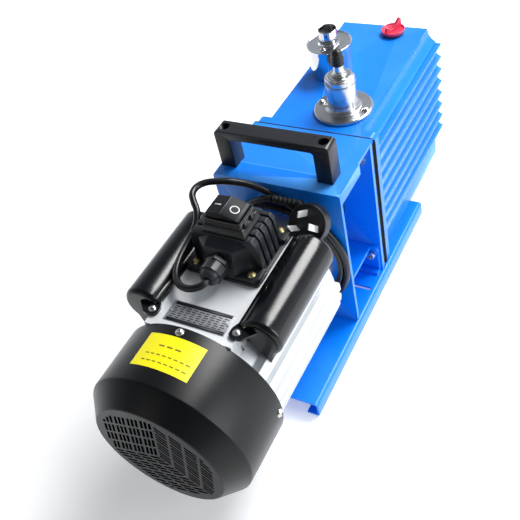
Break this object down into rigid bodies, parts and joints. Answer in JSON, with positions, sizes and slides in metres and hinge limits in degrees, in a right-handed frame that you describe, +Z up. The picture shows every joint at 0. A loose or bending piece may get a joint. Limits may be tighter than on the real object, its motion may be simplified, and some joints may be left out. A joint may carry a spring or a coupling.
{
  "type": "rotary vane vacuum pump",
  "caption": "Direct-drive two-stage rotary vane vacuum pump: finned oil box and fan-cooled motor on a channel base, with carry handle, inlet, exhaust can, switch and cord.",
  "frame": {"origin": "centre of the pattern of four fixing holes in the underside of the base channel, on the surface the pump stands on", "axes": "+Z up, +Y from the motor towards the oil box along the shaft, +X to the right as seen from the motor's fan end"},
  "size_m": [0.1714, 0.5898, 0.2799],
  "materials": {
    "blue_paint": "gloss",
    "black_plastic": "satin",
    "black_rubber": "matte",
    "zinc_steel": "satin",
    "yellow_zinc": "satin",
    "brass": "satin",
    "glass": "clear",
    "red_plastic": "gloss",
    "stainless": "turned",
    "chrome": "polished",
    "gauze": "woven",
    "machined_iron": "machined",
    "seal_rubber": "matte",
    "vane_composite": "matte",
    "spring_steel": "bright",
    "red_elastomer": "matte",
    "cast_aluminium": "as extruded",
    "core_steel": "laminated",
    "copper_winding": "enamelled",
    "cowl_black": "satin",
    "capacitor_can": "drawn",
    "nameplate_silver": "printed",
    "cord_pvc": "satin"
  },
  "bodies": {
    "frame": {"base_channel": "blue_paint", "bracket": "blue_paint", "handle": "black_plastic", "frame_bolts": "zinc_steel", "box_gasket": "black_rubber", "oil_box": "blue_paint", "sight_glass_ring": "brass", "sight_glass_lens": "glass", "drain_plug": "zinc_steel", "inlet_flange": "stainless", "port_screws": "zinc_steel", "inlet_nut": "stainless", "inlet_nozzle": "stainless", "inlet_tube": "zinc_steel", "exhaust_can": "chrome", "exhaust_filter": "gauze", "pump_front_plate": "machined_iron", "shaft_seal": "seal_rubber", "hv_stator": "machined_iron", "middle_plate": "machined_iron", "lv_stator": "machined_iron", "pump_rear_plate": "machined_iron", "pump_tie_bolts": "zinc_steel", "motor_frame": "cast_aluminium", "drive_end_shield": "cast_aluminium", "fan_end_shield": "cast_aluminium", "stator_core": "core_steel", "stator_windings": "copper_winding", "motor_bearings": "zinc_steel", "fan_cowl": "cowl_black", "cover_screws": "zinc_steel", "terminal_box": "black_plastic", "terminal_box_screws": "yellow_zinc", "switch_housing": "black_plastic", "cable_gland": "black_plastic", "capacitor_cover_left": "cowl_black", "capacitor_cover_right": "cowl_black", "capacitors": "capacitor_can", "nameplate": "nameplate_silver", "power_cord": "cord_pvc", "plug_body": "cord_pvc", "plug_pins": "chrome"},
    "shaft_train": {"motor_shaft": "zinc_steel", "motor_rotor": "core_steel", "cooling_fan": "black_plastic", "coupling_motor_half": "machined_iron", "coupling_spider": "red_elastomer", "coupling_pump_half": "machined_iron", "hv_rotor": "machined_iron", "lv_rotor": "machined_iron", "vane_springs": "spring_steel"},
    "hv_vane_left": {"hv_vane_left": "vane_composite"},
    "hv_vane_right": {"hv_vane_right": "vane_composite"},
    "lv_vane_left": {"lv_vane_left": "vane_composite"},
    "lv_vane_right": {"lv_vane_right": "vane_composite"},
    "reed": {"discharge_reed": "spring_steel"},
    "rocker": {"switch_rocker": "black_plastic"},
    "filler_seal": {"oil_cap_seal": "black_rubber"},
    "filler_cap": {"oil_filler_cap": "red_plastic"},
    "nozzle_cap": {"inlet_rubber_cap": "black_rubber"}
  },
  "joints": [
    {"name": "shaft_spin", "type": "hinge", "parent": "frame", "child": "shaft_train", "pos_m": [0, 0, 0.1139], "axis": [0, 1, 0], "continuous": true},
    {"name": "hv_vane_left_slide", "type": "slide", "parent": "shaft_train", "child": "hv_vane_left", "axis": [-1, 0, 0], "range_m": [0, 0.0033]},
    {"name": "hv_vane_right_slide", "type": "slide", "parent": "shaft_train", "child": "hv_vane_right", "axis": [1, 0, 0], "range_m": [0, 0.0033]},
    {"name": "lv_vane_left_slide", "type": "slide", "parent": "shaft_train", "child": "lv_vane_left", "axis": [-1, 0, 0], "range_m": [0, 0.0033]},
    {"name": "lv_vane_right_slide", "type": "slide", "parent": "shaft_train", "child": "lv_vane_right", "axis": [1, 0, 0], "range_m": [0, 0.0033]},
    {"name": "reed_lift", "type": "hinge", "parent": "frame", "child": "reed", "pos_m": [-0.029, 0.149, 0.15455], "axis": [0, -1, 0], "range_deg": [0, 8]},
    {"name": "rocker_tilt", "type": "hinge", "parent": "frame", "child": "rocker", "pos_m": [0.0005, -0.125, 0.24], "axis": [0, -1, 0], "range_deg": [0, 13]},
    {"name": "filler_cap_lift", "type": "slide", "parent": "frame", "child": "filler_seal", "axis": [0, 0, 1], "range_m": [0, 0.008]},
    {"name": "filler_cap_turn", "type": "hinge", "parent": "filler_seal", "child": "filler_cap", "pos_m": [0.017, 0.252, 0.2057], "axis": [0, 0, 1], "range_deg": [0, 1440]},
    {"name": "nozzle_cap_pull", "type": "slide", "parent": "frame", "child": "nozzle_cap", "axis": [0, 0, 1], "range_m": [0, 0.02]}
  ],
  "couplings": [
    {"joint": "filler_cap_lift", "follows": "filler_cap_turn", "m_per_rad": 0.00031831}
  ]
}
